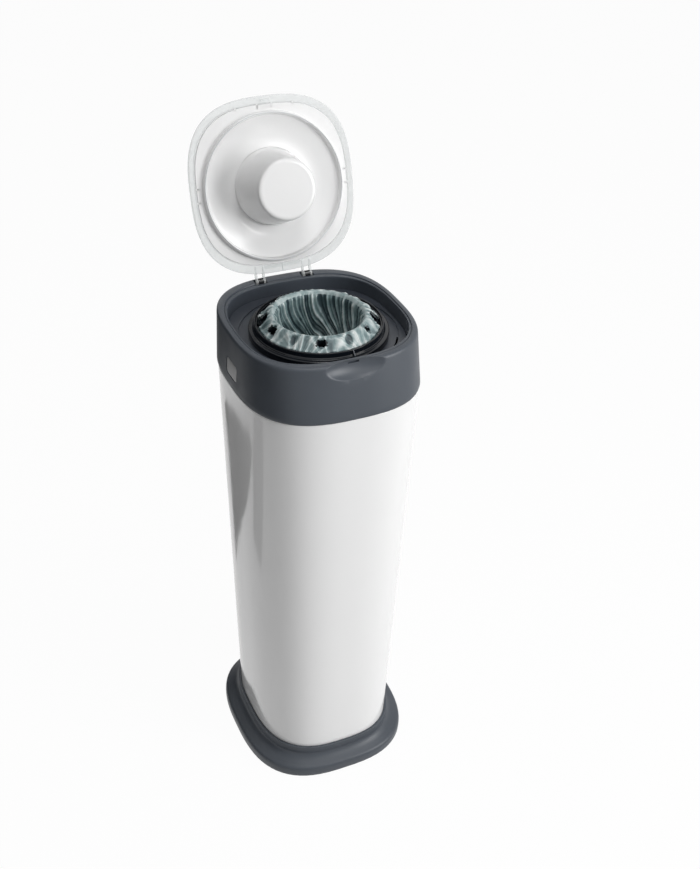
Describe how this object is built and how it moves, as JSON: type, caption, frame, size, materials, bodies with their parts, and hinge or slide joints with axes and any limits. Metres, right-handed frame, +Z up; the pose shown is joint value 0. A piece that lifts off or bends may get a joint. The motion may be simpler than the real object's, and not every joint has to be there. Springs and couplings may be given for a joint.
{
  "type": "nappy bin",
  "caption": "Tall nappy bin: tapered tub on a flared plinth, lift-off head with sealing film cassette, gripper and cutter, lid with plunger.",
  "frame": {"origin": "on the floor, under the centre of the tub", "axes": "+Z up, front (finger scoop) towards -Y, lid hinge at +Y, +X to the right seen from the front"},
  "size_m": [0.2142, 0.2891, 0.7937],
  "materials": {
    "white_gloss": "gloss",
    "charcoal": "satin",
    "charcoal_deck": "satin",
    "black_gloss": "gloss",
    "black_soft": "satin",
    "grey": "satin",
    "clear_white": "gloss",
    "seal": "matte",
    "film": "gloss",
    "rubber": "matte",
    "steel": "satin",
    "blade_steel": "polished",
    "spring_steel": "satin"
  },
  "bodies": {
    "tub": {"tub": "white_gloss", "plinth": "charcoal", "foot_ring": "rubber", "plinth_screws": "steel"},
    "head": {"head_shell": "charcoal", "deck": "charcoal_deck", "gripper_housing": "charcoal_deck", "head_screws": "steel", "deck_screws": "steel", "gripper": "black_soft", "cutter_frame": "charcoal_deck", "frame_screws": "steel", "click_pawl": "grey", "hinge_clip_left": "black_soft", "hinge_clip_right": "black_soft", "button_guide_left": "charcoal_deck", "button_guide_right": "charcoal_deck"},
    "button_left": {"button_left": "grey", "latch_left": "grey", "button_spring_left": "spring_steel"},
    "button_right": {"button_right": "grey", "latch_right": "grey", "button_spring_right": "spring_steel"},
    "cutter": {"cutter_carriage": "grey", "cutter_blade": "blade_steel", "blade_screws": "steel"},
    "carousel": {"carousel": "black_gloss", "ratchet_ring": "black_soft", "cassette_tub": "black_gloss", "cassette_crown": "black_gloss", "film_pack": "film", "film": "film"},
    "lid": {"lid_cover": "clear_white", "lid_liner": "white_gloss", "plunger": "white_gloss", "lid_seal": "seal"}
  },
  "joints": [
    {"name": "head_lift", "type": "slide", "parent": "tub", "child": "head", "axis": [0, 0, 1], "range_m": [0, 0.15]},
    {"name": "lid_hinge", "type": "hinge", "parent": "head", "child": "lid", "pos_m": [0, 0.1014, 0.6005], "axis": [1, 0, 0], "range_deg": [0, 107.5]},
    {"name": "carousel_turn", "type": "hinge", "parent": "head", "child": "carousel", "pos_m": [0, -0.002, 0.59], "axis": [0, 0, 1], "continuous": true},
    {"name": "cutter_slide", "type": "slide", "parent": "head", "child": "cutter", "axis": [1, 0, 0], "range_m": [0, 0.072]},
    {"name": "button_left_press", "type": "slide", "parent": "head", "child": "button_left", "axis": [1, 0, 0], "range_m": [0, 0.004], "stiffness_N_per_m": 500, "springref_m": -0.004, "deforming": ["button_spring_left"]},
    {"name": "button_right_press", "type": "slide", "parent": "head", "child": "button_right", "axis": [-1, 0, 0], "range_m": [0, 0.004], "stiffness_N_per_m": 500, "springref_m": -0.004, "deforming": ["button_spring_right"]}
  ]
}
